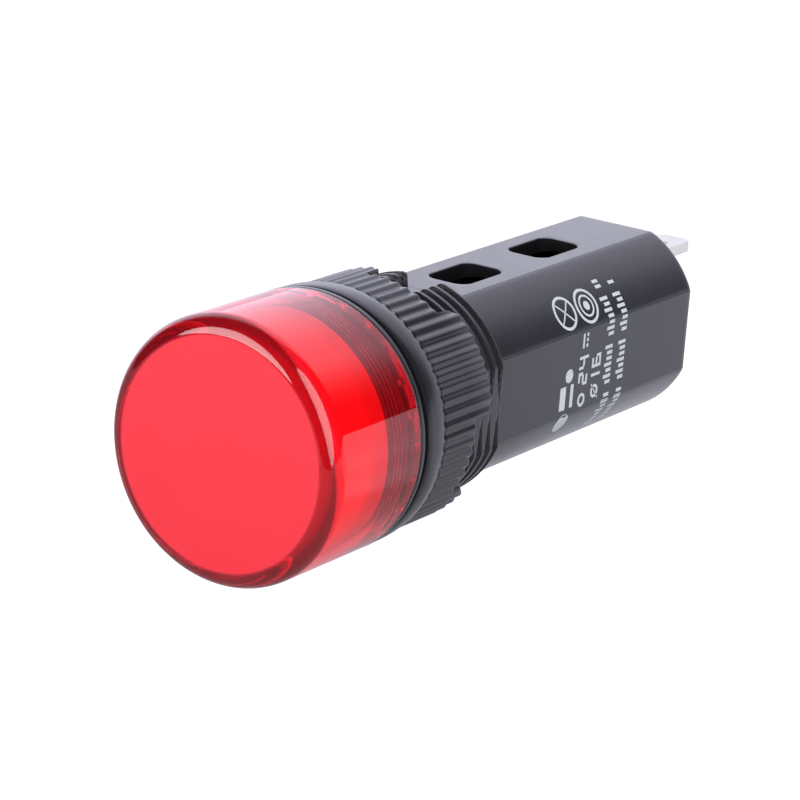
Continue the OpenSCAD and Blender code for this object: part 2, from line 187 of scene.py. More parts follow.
class Surface(Graph):
    """A material's nodes, with the patterns that the finishes share."""

    def __init__(self, name: str) -> None:
        """Makes an empty material of that name."""
        self.material = bpy.data.materials.new(name)
        self.material.use_nodes = True
        super().__init__(self.material.node_tree)
        self.place = self.node("ShaderNodeTexCoord").outputs["Object"]

    def noise(
        self, grain: float, detail: float = 3.0, seed: float = 0.0, stretch: Sequence[float] = (1, 1, 1)
    ) -> Value:
        """A cloudy pattern from 0 to 1.

        Args:
            grain: the size of a cloud in mm.
            detail: how many finer layers it has.
            seed: shifts the pattern, in mm.
            stretch: how much finer the pattern is along each axis.

        Returns:
            The pattern.
        """
        moves = {"Vector": self.place, "Location": (seed * MM,) * 3, "Scale": tuple(stretch)}
        shifted = self.node("ShaderNodeMapping", {}, moves).outputs[0]
        clouds = {"Vector": shifted, "Scale": 1 / (grain * MM), "Detail": detail}
        return Value(self, self.node("ShaderNodeTexNoise", {}, clouds).outputs[0])

    def bump(self, height: Value, depth: float, edge: float = 0.0) -> NodeSocket:
        """A normal from a height pattern.

        Args:
            height: the pattern, from 0 to 1.
            depth: the relief's depth in mm.
            edge: the radius in mm to which sharp edges look rounded, or 0.

        Returns:
            The normal's socket.
        """
        inputs = {"Height": height, "Distance": depth * MM, "Strength": 1.0}
        if edge:
            rounding = self.node("ShaderNodeBevel", {"samples": 6}, {"Radius": edge * MM})
            inputs["Normal"] = rounding.outputs[0]
        return self.node("ShaderNodeBump", {}, inputs).outputs[0]

    def blend(self, factor: Value, first: NodeSocket, second: NodeSocket) -> NodeSocket:
        """Mixes two shaders, where the factor is the second one's share."""
        return self.node("ShaderNodeMixShader", {}, {0: factor, 1: first, 2: second}).outputs[0]

    def shade(
        self, paint: NodeSocket, roughness: Value | float, normal: NodeSocket | None = None, **more: float
    ) -> NodeSocket:
        """Adds the Principled shader.

        Args:
            paint: the base colour.
            roughness: the roughness.
            normal: the normal, where the surface has relief.
            more: other inputs by name, with _ for each space.

        Returns:
            The shader's output.
        """
        inputs = {"Base Color": paint, "Roughness": roughness}
        inputs |= {name.replace("_", " "): amount for name, amount in more.items()}
        if normal:
            inputs["Normal"] = normal
        return self.node("ShaderNodeBsdfPrincipled", {}, inputs).outputs[0]

    def done(self, shader: NodeSocket) -> Material:
        """Links the shader to the output and returns the material."""
        self.node("ShaderNodeOutputMaterial", {}, {"Surface": shader})
        return self.material


class Shaper(Graph):
    """A Geometry Nodes tree with named inputs, which a modifier applies to a mesh."""

    def __init__(self, name: str, material: Material) -> None:
        """Makes a tree that passes a mesh in and out.

        Args:
            name: the tree's name.
            material: what Set Material gives the finished mesh.
        """
        super().__init__(bpy.data.node_groups.new(name, "GeometryNodeTree"))
        self.material = material
        self.values: dict[str, float] = {}
        face = self.tree.interface
        face.new_socket("Geometry", in_out="INPUT", socket_type="NodeSocketGeometry")
        face.new_socket("Geometry", in_out="OUTPUT", socket_type="NodeSocketGeometry")
        self.entry = self.node("NodeGroupInput")

    def size(self, name: str, amount: float) -> Value:
        """Adds a named size to the tree's inputs.

        Args:
            name: the input's name.
            amount: its value.

        Returns:
            The input as a value.
        """
        self.tree.interface.new_socket(name, in_out="INPUT", socket_type="NodeSocketFloat")
        self.values[name] = amount
        return Value(self, self.entry.outputs[name])

    def finish(self, shape: NodeSocket) -> None:
        """Ends the tree in Realize Instances and Set Material.

        Args:
            shape: what the tree has made.
        """
        real = self.node("GeometryNodeRealizeInstances", {}, {0: shape}).outputs[0]
        dressed = self.node("GeometryNodeSetMaterial", {}, {"Geometry": real, "Material": self.material})
        self.node("NodeGroupOutput", {}, {0: dressed.outputs[0]})

    def apply(self, piece: Object) -> Object:
        """Runs the tree on a piece and leaves the result as its plain mesh.

        Args:
            piece: the object to shape.

        Returns:
            The same object.
        """
        modifier = piece.modifiers.new(self.tree.name, "NODES")
        modifier.node_group = self.tree
        for item in self.tree.interface.items_tree:
            if item.in_out == "INPUT" and item.name in self.values:
                modifier[item.identifier] = float(self.values[item.name])
        return settle_modifier(piece, modifier)


# --- mesh makers


def add_object(name: str, data: ID) -> Object:
    """Makes an object and puts it in the scene.

    Args:
        name: the object's name.
        data: its mesh, lamp or camera.

    Returns:
        The object.
    """
    made = bpy.data.objects.new(name, data)
    bpy.context.scene.collection.objects.link(made)
    return made


@contextmanager
def reshaping(mesh: Mesh) -> Iterator[BMesh]:
    """Opens a mesh for changes, and writes them back at the end.

    Args:
        mesh: the mesh to change.

    Yields:
        The mesh in its editable form.
    """
    form = bmesh.new()
    form.from_mesh(mesh)
    yield form
    form.to_mesh(mesh)
    form.free()


def settle_modifier(piece: Object, modifier: Modifier) -> Object:
    """Turns what a modifier makes of a piece into the piece's plain mesh.

    Args:
        piece: the piece.
        modifier: its only modifier, which is removed.

    Returns:
        The same piece.
    """
    mesh = bpy.data.meshes.new_from_object(piece.evaluated_get(bpy.context.evaluated_depsgraph_get()))
    piece.modifiers.remove(modifier)
    piece.data = mesh
    return piece


@dataclass(frozen=True)
class Span:
    """The space that a CAD node fills: its largest radius and its ends along the axis."""

    radius: float
    front: float
    rear: float

    @classmethod
    def of(cls, node: str) -> "Span":
        """Reads a node's box from the frame."""
        low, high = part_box(node)
        return cls(max(high.x, high.z) / MM, low.y / MM, high.y / MM)


@dataclass(frozen=True)
class Thread:
    """A right-handed thread on a round wall, from the crest radius to the root radius."""

    crest: float
    root: float
    start: float
    end: float
    pitch: float
    crest_share: float = 0.3
    root_share: float = 0.2
    flank_steps: int = 1

    def form(self) -> Profile:
        """One turn's outline.

        Returns:
            Its points, as radius and share of the pitch.
        """
        slope = (1 - self.crest_share - self.root_share) / 2
        parts = [i / self.flank_steps for i in range(self.flank_steps + 1)]
        deep = self.root - self.crest
        down = [(self.crest + deep * part, self.crest_share + slope * part) for part in parts]
        up = [(self.root - deep * part, 1 - slope + slope * part) for part in parts[:-1]]
        return [(self.crest, 0.0), *down, *up]

    def points(self, angle: float) -> Profile:
        """The wall's outline at an angle, from start to end.

        Args:
            angle: the angle round the axis in degrees.

        Returns:
            The outline, with the same number of points at every angle.
        """
        form = self.form()
        out: Profile = [(self.crest, self.start)]
        for i in range(math.ceil((self.end - self.start) / self.pitch) + 2):
            for radius, share in form:
                y = self.start + (i + share - angle / 360) * self.pitch
                inside = self.start < y < self.end
                out.append((radius if inside else self.crest, min(max(y, self.start), self.end)))
        return out + [(self.crest, self.end)]


def fillet(r: float, y: float, turn_from: float, radius: float, count: int) -> Profile:
    """The ends of a quarter round's pieces about (r, y), from an angle in degrees from +r towards +y."""
    turns = [math.radians(turn_from + 90 * i / count) for i in range(count + 1)]
    return [(r + radius * math.cos(t), y + radius * math.sin(t)) for t in turns]


def mesh_object(name: str, points: Iterable[Vector], faces: Iterable[Sequence[int]]) -> Object:
    """Makes an object from points in mm and faces.

    Args:
        name: the object's name.
        points: the vertices, in mm.
        faces: the vertices' numbers in each face.

    Returns:
        The object, with its doubles merged and its faces outward.
    """
    mesh = bpy.data.meshes.new(name)
    mesh.from_pydata([Vector(p) * MM for p in points], [], list(faces))
    with reshaping(mesh) as form:
        bmesh.ops.remove_doubles(form, verts=form.verts, dist=SAME)
        bmesh.ops.dissolve_degenerate(form, edges=form.edges, dist=SAME)
        bmesh.ops.recalc_face_normals(form, faces=form.faces)
    return add_object(name, mesh)


def bands(rows: int, count: int, closed: bool = True) -> list[tuple[int, ...]]:
    """The faces between rows of points.

    Args:
        rows: how many rows there are.
        count: how many points each row has.
        closed: whether a row's last point joins its first.

    Returns:
        The points' numbers in each face.
    """
    faces = []
    for i, j in product(range(rows - 1), range(count if closed else count - 1)):
        k = (j + 1) % count
        faces.append((i * count + j, i * count + k, (i + 1) * count + k, (i + 1) * count + j))
    return faces


def lathe(
    name: str, section: Callable[[float], Profile], angles: Sequence[float], closed: bool = True
) -> Object:
    """Makes a round form from its half section at each angle.

    Args:
        name: the object's name.
        section: gives the outline of radius and y at an angle, always with as many points.
        angles: where the sections stand, in degrees, rising from 0 to 360.
        closed: whether the outline closes on itself, and doesn't end on the axis.

    Returns:
        The object.
    """
    points: list[Vector] = []
    for angle in angles:
        turn = math.radians(angle)
        points += [Vector((r * math.cos(turn), y, r * math.sin(turn))) for r, y in section(angle)]
    return mesh_object(name, points, bands(len(angles), len(points) // len(angles), closed))


def smooth(piece: Object, angle: float) -> Object:
    """Shades a piece smooth, apart from its sharp edges.

    Args:
        piece: the piece.
        angle: the angle in degrees from which an edge is sharp.

    Returns:
        The same piece.
    """
    piece.data.polygons.foreach_set("use_smooth", [True] * len(piece.data.polygons))
    piece.data.set_sharp_from_angle(angle=math.radians(angle))
    return piece


def join(piece: Object, extra: Object) -> None:
    """Adds one object's mesh to a piece, in the piece's second material.

    Args:
        piece: the object that grows.
        extra: the object that goes into it, and is removed.
    """
    with reshaping(piece.data) as form:
        first = len(form.faces)
        form.from_mesh(extra.data)
        form.faces.ensure_lookup_table()
        for face in form.faces[first:]:
            face.material_index = 1
    bpy.data.objects.remove(extra)


def steps(start: float, end: float, step: float) -> list[float]:
    """Even steps from start to end, with both ends."""
    count = max(1, round((end - start) / step))
    return [start + (end - start) * i / count for i in range(count + 1)]


# --- finishes


@dataclass(frozen=True)
class Finish:
    """A named finish, whose shader each kind of finish makes in its own way."""

    name: str
    colour: Colour

    def tone(self, share: float) -> Colour:
        """The finish's colour, darker or paler by a share."""
        return tuple(c * share for c in self.colour)

    def shader(self, s: Surface) -> NodeSocket:
        """Adds the finish's nodes to a surface.

        Args:
            s: the surface.

        Returns:
            The shader's output.
        """
        raise NotImplementedError

    def material(self) -> Material:
        """Builds the material."""
        s = Surface(self.name)
        return s.done(self.shader(s))


@dataclass(frozen=True)
class MouldedPlastic(Finish):
    """Satin moulded plastic with a fine spark-eroded grain and a faint cloudiness.

    Within the inside radius in mm, if it has one, and under the windows, it takes a near-black painted shade
    with more roughness and little gloss, standing in for the shade inside the bore and on the windows' walls.
    """

    roughness: float = 0.3
    grain: float = 0.12
    depth: float = 0.0015
    edge: float = 0.06
    inside: float = 0.0
    window_half: float = 1.68
    # the painted shade's tones and roughness, for the bore and the windows' walls
    painted_shade_tones: tuple[Colour, Colour] = ((0.002, 0.002, 0.003), (0.004, 0.004, 0.005))
    dull_roughness: float = 0.75

    def shader(self, s: Surface) -> NodeSocket:
        """Adds the satin plastic, and the painted shade where there is an inside."""
        clouds = s.noise(2.5, 4.0)
        grain = s.noise(self.grain, 2.0, seed=3)
        paint = s.mix(clouds, self.colour, tuple(c + 0.002 for c in self.tone(1.25)))
        roughness = self.roughness - 0.04 + 0.08 * clouds + 0.04 * grain
        satin = s.shade(paint, roughness, s.bump(grain, self.depth, self.edge), IOR=1.45)
        if not self.inside:
            return satin
        # painted shade: near-black tones with dull, weak gloss inside the bore and on the windows' walls
        paint = s.mix(clouds, *self.painted_shade_tones)
        relief = s.bump(grain, self.depth * 3)
        painted_shade = s.shade(paint, self.dull_roughness + 0.1 * grain, relief, Specular_IOR_Level=0.12)
        x, _, z = s.split(s.place)
        edge = self.inside * MM
        in_window = (x * x).below((self.window_half * MM) ** 2) * z.below(edge) * z.above(0.0)
        within = (x * x + z * z).below(edge**2).calc("MAXIMUM", in_window)
        return s.blend(within, satin, painted_shade)


@dataclass(frozen=True)
class ClearTint(Finish):
    """Polished clear coloured plastic with a little body, which lets lamps through in its colour.

    It is a little cloudy where it borders the milky disc and in the round behind it.
    """

    shadow: Colour
    roughness: float = 0.02
    clearness: float = 0.952
    rim_cloud: tuple[float, float] = (0.4, 0.05)
    rim_from: float = 7.8
    rim_to: float = 8.05
    rim_front: float = -9.8
    rim_rear: float = -9.2
    body_tones: tuple[Colour, Colour] = ((0.8, 0.035, 0.07), (0.72, 0.03, 0.06))

    def shader(self, s: Surface) -> NodeSocket:
        """Adds the clear plastic, its cloudy rim, and what it lets through to a shadow."""
        flow = s.noise(1.4, 3.0, stretch=(1, 0.35, 1))
        polish = (self.roughness + 0.02 * flow, s.bump(flow, 0.0004))
        tint = s.mix(flow, self.colour, self.tone(0.96))
        glass = s.shade(tint, *polish, IOR=1.49, Transmission_Weight=self.clearness)
        body = s.shade(s.mix(flow, *self.body_tones), *polish, IOR=1.49)
        x, y, z = s.split(s.place)
        radius = (x * x + z * z).calc("SQRT")
        cloud = radius.ramp(self.rim_from * MM, self.rim_to * MM, *self.rim_cloud)
        cloud = cloud * y.ramp(self.rim_front * MM, self.rim_rear * MM, 1.0, 0.0)
        open_way = s.node("ShaderNodeBsdfTransparent", {}, {"Color": (*self.shadow, 1.0)}).outputs[0]
        shadow_ray = Value(s, s.node("ShaderNodeLightPath").outputs["Is Shadow Ray"])
        return s.blend(shadow_ray, s.blend(cloud, glass, body), open_way)


@dataclass(frozen=True)
class MilkyFace(Finish):
    """The lens's polished milky front, with a faint cloudiness and a painted shade that darkens it towards
    the bottom.
    """

    # painted shade at the bottom: it is strongest at this height in mm and fades out by the next one, and the
    # share sets how dark the colour gets
    painted_shade_low: float = -9.0
    shade_fade_to: float = 5.0
    painted_shade_share: Colour = (0.9, 0.66, 0.72)

    def shader(self, s: Surface) -> NodeSocket:
        """Adds the milky plastic."""
        clouds = s.noise(5.0, 2.0) * 0.5
        # painted shade: the milky front darkens towards the bottom, as if lit from above
        low = s.split(s.place)[2].ramp(self.painted_shade_low * MM, self.shade_fade_to * MM, 0.5, 0.0)
        deep = tuple(c * share for c, share in zip(self.colour, self.painted_shade_share))
        paint = s.mix(clouds + low, self.colour, deep)
        return s.shade(paint, 0.14 + 0.12 * clouds, s.bump(s.noise(0.4, 2.0), 0.0003), IOR=1.49)


@dataclass(frozen=True)
class MilkyPlastic(Finish):
    """Milky plastic that scatters light, with a painted shade that darkens it towards its open end, next to
    the housing's black nose.
    """

    # the painted shade's darkest colour, and where along the axis in mm it fades in
    deep: Colour
    shade_fade_from: float
    shade_fade_to: float

    def shader(self, s: Surface) -> NodeSocket:
        """Adds the milky plastic."""
        grain = s.noise(0.1, 2.0, seed=5)
        # painted shade: darker towards the open end, next to the housing's black nose
        fade = s.split(s.place)[1].ramp(self.shade_fade_from * MM, self.shade_fade_to * MM)
        paint = s.mix(0.1 * s.noise(3.0, 3.0) + 0.9 * fade, self.colour, self.deep)
        return s.shade(paint, 0.42 + 0.1 * grain, s.bump(grain, 0.002), IOR=1.49)


@dataclass(frozen=True)
class Speckled(Finish):
    """Matt or satin stuff, such as ink or rubber, that one fine pattern varies in tone, gloss and height.

    The tone share says how dark or pale the colour gets, and the unevenness what is added to the roughness.
    """

    grain: float
    tone_share: float
    roughness: float
    unevenness: float
    edge: float = 0.0
    depth: float = 0.004
    specular: float = 0.5

    def shader(self, s: Surface) -> NodeSocket:
        """Adds the speckled stuff."""
        speckle = s.noise(self.grain, 4.0)
        paint = s.mix(speckle, self.colour, self.tone(self.tone_share))
        roughness = self.roughness + self.unevenness * speckle
        relief = s.bump(speckle, self.depth, self.edge)
        return s.shade(paint, roughness, relief, Specular_IOR_Level=self.specular)


@dataclass(frozen=True)
class PlatedMetal(Finish):
    """Plated metal with fine lines along one axis and a faint tarnish."""

    roughness: float = 0.28
    lines: tuple[float, float, float] = (1.0, 0.06, 1.0)
    metallic: float = 1.0

    def shader(self, s: Surface) -> NodeSocket:
        """Adds the metal."""
        lines = s.noise(0.05, 3.0, stretch=self.lines)
        clouds = s.noise(1.2, 3.0, seed=9)
        paint = s.mix(clouds, self.colour, self.tone(0.88))
        roughness = self.roughness + 0.12 * lines + 0.06 * clouds
        return s.shade(paint, roughness, s.bump(lines, 0.0012, 0.04), Metallic=self.metallic)


@dataclass(frozen=True)
class Glossy(Finish):
    """Glossy lacquer, epoxy or insulation, with rings of other colours round it where it is banded.

    Each band is its first and last place along the axis in mm, and its colour.
    """

    roughness: float = 0.22
    bands: tuple[tuple[float, float, Colour], ...] = ()

    def shader(self, s: Surface) -> NodeSocket:
        """Adds the gloss with its bands."""
        wave = s.noise(0.6, 3.0)
        y = s.split(s.place)[1]
        paint = s.mix(wave, self.colour, self.tone(0.85))
        for first, last, colour in self.bands:
            paint = s.mix(y.above(first * MM) * y.below(last * MM), paint, colour)
        return s.shade(paint, self.roughness + 0.1 * wave, s.bump(wave, 0.01, 0.05))


@dataclass(frozen=True)
class TwoWires(Finish):
    """Extruded insulation, in its colour above the board and another under it."""

    lower: Colour

    def shader(self, s: Surface) -> NodeSocket:
        """Adds the insulation."""
        ripple = s.noise(0.2, 2.0)
        height = s.split(s.place)[2]
        paint = s.mix(height.above(0.0), self.lower, self.colour)
        return s.shade(paint, 0.35 + 0.1 * ripple, s.bump(ripple, 0.004))


@dataclass(frozen=True)
class SolderMask(Finish):
    """A board's lacquer over copper tracks, which show as paler, raised stripes with bare pads."""

    track: Colour
    pitch: float = 1.4

    def shader(self, s: Surface) -> NodeSocket:
        """Adds the lacquer and the tracks."""
        x, y, _ = s.split(s.place)
        bend = s.noise(6.0, 0.0, seed=2)
        stripe = ((x + 2 * MM * bend) / (self.pitch * MM)).calc("PINGPONG", 1.0)
        cross = (y / (self.pitch * 2.6 * MM)).calc("PINGPONG", 1.0)
        track = stripe.ramp(0.28, 0.34, 1.0, 0.0) * cross.ramp(0.12, 0.16)
        speckle = s.noise(0.3, 3.0)
        lacquer = s.mix(speckle, self.colour, self.tone(0.8))
        paint = s.mix(track, lacquer, self.track)
        return s.shade(paint, 0.3 + 0.12 * speckle, s.bump(track, 0.03, 0.05))


# --- the lamp


def put_on(finish: Finish, *nodes: str) -> None:
    """Gives CAD nodes a finish through their own slots.

    Args:
        finish: the finish that they share.
        nodes: the nodes' names.
    """
    material = finish.material()
    for node in nodes:
        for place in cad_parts[node].material_slots:
            place.link = "OBJECT"
            place.material = material


def settle(piece: Object, body: Body, slot: str, *finishes: Finish) -> Object:
    """Lets a new piece ride on a body.

    Args:
        piece: the new piece.
        body: the body that carries it.
        slot: not used.
        finishes: its finishes, where it has none yet.

    Returns:
        The piece.
    """
    for finish in finishes:
        piece.data.materials.append(finish.material())
    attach(piece, body.value)
    LOG.info("%s rides on %s: %d faces", piece.name, body.value, len(piece.data.polygons))
    return piece


@dataclass
class LensUnit:
    """The screw-on clear cap with its milky face, and the milky cup behind it."""

    wall: float = 1.13
    face: float = 1.15
    front_round: float = 1.25
    rear_round: float = 0.06
    thread_pitch: float = 0.4
    thread_depth: float = 0.14
    thread_length: float = 1.7
    thread_end: float = 0.95
    notches: int = 24
    notch_depth: float = 0.34
    notch_length: float = 0.34
    notch_angle: float = 3.2
    notch_wall: float = 0.01
    disc_taper: float = 0.06
    shading_row: float = 0.05
    rear_row: float = 0.15
    section_step: float = 1.5
    cap: Span = field(default_factory=lambda: Span.of("lens_cap"))

    def bore(self) -> float:
        """The bore's radius."""
        return self.cap.radius - self.wall

    def section(self, angle: float) -> Profile:
        """The clear tube's half section at an angle.

        Args:
            angle: the angle round the axis in degrees.

        Returns:
            The outline, closed on itself.
        """
        front, rear, r, bore = self.cap.front, self.cap.rear, self.cap.radius, self.bore()
        deep = self.notch_depth if angle % (360 / self.notches) < self.notch_angle else 0.0
        end = rear - self.thread_end
        thread = Thread(bore, bore + self.thread_depth, end - self.thread_length, end, self.thread_pitch)
        out = fillet(r - self.front_round, front + self.front_round, -90, self.front_round, 16)
        behind = front + self.front_round + self.shading_row
        out += [(r, y) for y in (behind, (front + rear) / 2, rear - self.rear_row)]
        out += fillet(r - self.rear_round, rear - self.rear_round, 0, self.rear_round, 3)
        notch = rear - self.notch_length
        out += [(bore + deep, rear), (bore + deep, notch), (bore, notch)]
        out += thread.points(angle)[::-1]
        return out + [(bore, front + self.face)]

    def disc_section(self, angle: float) -> Profile:
        """The milky disc's half section.

        Args:
            angle: the angle round the axis in degrees, which changes nothing here.

        Returns:
            The outline, from the front pole to the rear one.
        """
        front, edge = self.cap.front, self.cap.radius - self.front_round
        rear = front + self.face
        out: Profile = [(r, front) for r in steps(0, edge, edge / 3)]
        return out + [(edge - self.disc_taper, rear), (edge / 2, rear), (0, rear)]

    def angles(self) -> list[float]:
        """Tells where the sections stand.

        Returns:
            Even angles, with a close pair at each notch's two sides.
        """
        out = set(steps(0, 360, self.section_step))
        for i in range(self.notches):
            for side in (0.0, self.notch_angle):
                at = i * 360 / self.notches + side
                out |= {max(0.0, at - self.notch_wall), at}
        return sorted(out)

    def build(self) -> None:
        """Makes the cap, and dresses it and the diffuser."""
        cap = smooth(lathe("lens_cap_clear", self.section, self.angles()), 40)
        rounds = steps(0, 360, self.section_step)
        disc = smooth(lathe("milky_disc", self.disc_section, rounds, closed=False), 40)
        join(cap, disc)
        clear = ClearTint("clear_red_lens", (0.88, 0.012, 0.03), shadow=(0.97, 0.3, 0.33))
        face = MilkyFace("milky_lens_face", (0.72, 0.03, 0.047))
        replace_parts(settle(cap, Body.LENS, "clear_red_lens", clear, face), "lens_cap")
        # the cup darkens towards its open end as painted shade
        cup = MilkyPlastic(
            "milky_diffuser", (0.95, 0.2, 0.22), deep=(0.56, 0.08, 0.1), shade_fade_from=-6.6, shade_fade_to=-5.0
        )
        put_on(cup, "diffuser")


@dataclass
class Nut:
    """The ribbed, castellated ring nut."""

    ribs: int = 64
    castles: int = 4
    castle_from: float = 5.0
    castle_wide: float = 50.0
    castle_long: float = 1.95
    castle_corner: float = 0.9
    castle_wall: float = 0.03
    collar_long: float = 1.85
    rib_inset: float = 0.2
    shoulder: float = 0.3
    rib_depth: float = 0.15
    rib_sharpness: float = 0.5
    collar_crown: float = 0.09
    crown_from: float = 0.6
    crown_to: float = 0.85
    bore: float = 7.97
    bore_lead: float = 0.3
    bore_edge: float = 0.08
    thread_depth: float = 0.3
    thread_pitch: float = 1.0
    thread_from: float = 0.5
    thread_to: float = 0.2
    front_edge: float = 0.06
    rear_edge: float = 0.18
    thread_shares: tuple[float, float] = (0.5, 0.1)
    row: float = 0.08
    crown_row: float = 0.12
    shoulder_rows: tuple[float, float, float] = (0.15, 1.0, 0.17)
    sleeve_row: float = 0.8
    corner_turn: float = 5.4
    valley_run_in: float = 0.4
    bore_skin: float = 0.4
    room: Span = field(default_factory=lambda: Span.of("nut"))

    def castle_height(self, angle: float) -> float:
        """How far the rear edge stands out at an angle, with the castles' corners rounded.

        Args:
            angle: the angle round the axis in degrees.

        Returns:
            The height over the slots' bottom.
        """
        along = angle % (360 / self.castles) - self.castle_from
        if not 0 <= along <= self.castle_wide:
            return 0.0
        inside = math.radians(min(along, self.castle_wide - along)) * self.room.radius
        short = max(0.0, self.castle_corner - inside)
        return self.castle_long - self.castle_corner + math.sqrt(self.castle_corner**2 - short**2)

    def crown(self, y: float) -> float:
        """The slightly barrelled collar's radius.

        Args:
            y: the distance behind the nut's front.

        Returns:
            The radius.
        """
        behind = max(0.0, y - self.crown_to) / (self.collar_long - self.crown_to)
        before = max(0.0, self.crown_from - y) / self.crown_from
        return self.room.radius - self.collar_crown * (behind + before) ** 2

    def section(self, angle: float) -> Profile:
        """The nut's half section at an angle.

        Args:
            angle: the angle round the axis in degrees.

        Returns:
            The outline, closed on itself.
        """
        front, collar = self.room.front, self.room.radius
        sleeve, edge = collar - self.rib_inset, self.rear_edge
        floor = self.room.rear - self.castle_long
        rear = floor + self.castle_height(angle)
        step = front + self.collar_long
        out = [(self.bore, front + self.bore_lead), (self.bore + self.bore_lead, front)]
        out += fillet(self.crown(0) - self.front_edge, front + self.front_edge, -90, self.front_edge, 3)
        rows = steps(self.front_edge + self.row, self.collar_long, self.crown_row)
        out += [(self.crown(y), front + y) for y in rows]
        drop = self.crown(self.collar_long) - sleeve
        for t in steps(*self.shoulder_rows):
            out.append((sleeve + drop * (1 - t * t * (3 - 2 * t)), step + self.shoulder * t))
        out += [(sleeve, step + self.shoulder + self.row * i) for i in range(1, 5)]
        out += [(sleeve, y) for y in steps(step + 0.5, floor - edge - 0.1, self.sleeve_row)]
        out += fillet(sleeve - edge, rear - edge, 0, edge, 5)
        out += [(self.bore + self.bore_edge, rear), (self.bore, rear - self.bore_edge)]
        first, last = front + self.thread_from, floor - self.thread_to
        root = self.bore + self.thread_depth
        thread = Thread(self.bore, root, first, last, self.thread_pitch, *self.thread_shares)
        return out + thread.points(angle)[::-1]

    def angles(self) -> list[float]:
        """Tells where the sections stand.

        Returns:
            Ten angles a rib, with closer ones at each castle's two sides.
        """
        out = set(steps(0, 360, 360 / self.ribs / 10))
        shares = [1 - math.cos(math.radians(t)) for t in range(10, 91, 10)]
        for i in range(self.castles):
            for side, inward in ((self.castle_from, 1), (self.castle_from + self.castle_wide, -1)):
                at = i * 360 / self.castles + side
                out |= {at - inward * self.castle_wall, at}
                out |= {at + inward * self.corner_turn * share for share in shares}
        return sorted(out)

    def rib_tree(self, material: Material) -> Shaper:
        """A tree that presses rounded valleys between the ribs into the sleeve.

        Args:
            material: the nut's material.

        Returns:
            The tree, ready to apply.
        """
        tree = Shaper("press_rib_valleys", material)
        count = tree.size("Ribs", self.ribs)
        depth = tree.size("Valley Depth", self.rib_depth * MM)
        sharpness = tree.size("Rib Sharpness", self.rib_sharpness)
        start = tree.size("Valley Start", (self.room.front + self.collar_long) * MM)
        inner = tree.size("Sleeve Inner Radius", (self.bore + self.bore_skin) * MM)
        x, y, z = tree.split(tree.node("GeometryNodeInputPosition").outputs[0])
        radius = (x * x + z * z).calc("SQRT")
        wave = ((z.calc("ARCTAN2", x) * count).calc("COSINE") * sharpness).calc("ARCSINE")
        valley = 0.5 - wave / sharpness.calc("ARCSINE") * 0.5
        run_in = ((y - start) / (self.valley_run_in * MM)).ramp(0.0, 1.0)
        amount = depth * valley * run_in * (radius - inner).above(0.0)
        scale = 1 - amount / radius
        moved = tree.node("ShaderNodeCombineXYZ", {}, {0: x * scale, 1: y, 2: z * scale})
        places = {"Geometry": tree.entry.outputs[0], "Position": moved.outputs[0]}
        tree.finish(tree.node("GeometryNodeSetPosition", {}, places).outputs[0])
        return tree

    def build(self) -> None:
        """Makes the nut."""
        plastic = MouldedPlastic("black_nut", (0.009, 0.009, 0.0125), roughness=0.24).material()
        blank = lathe("ribbed_nut", self.section, self.angles())
        nut = smooth(self.rib_tree(plastic).apply(blank), 50)
        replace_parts(settle(nut, Body.NUT, "black_nut"), "nut")


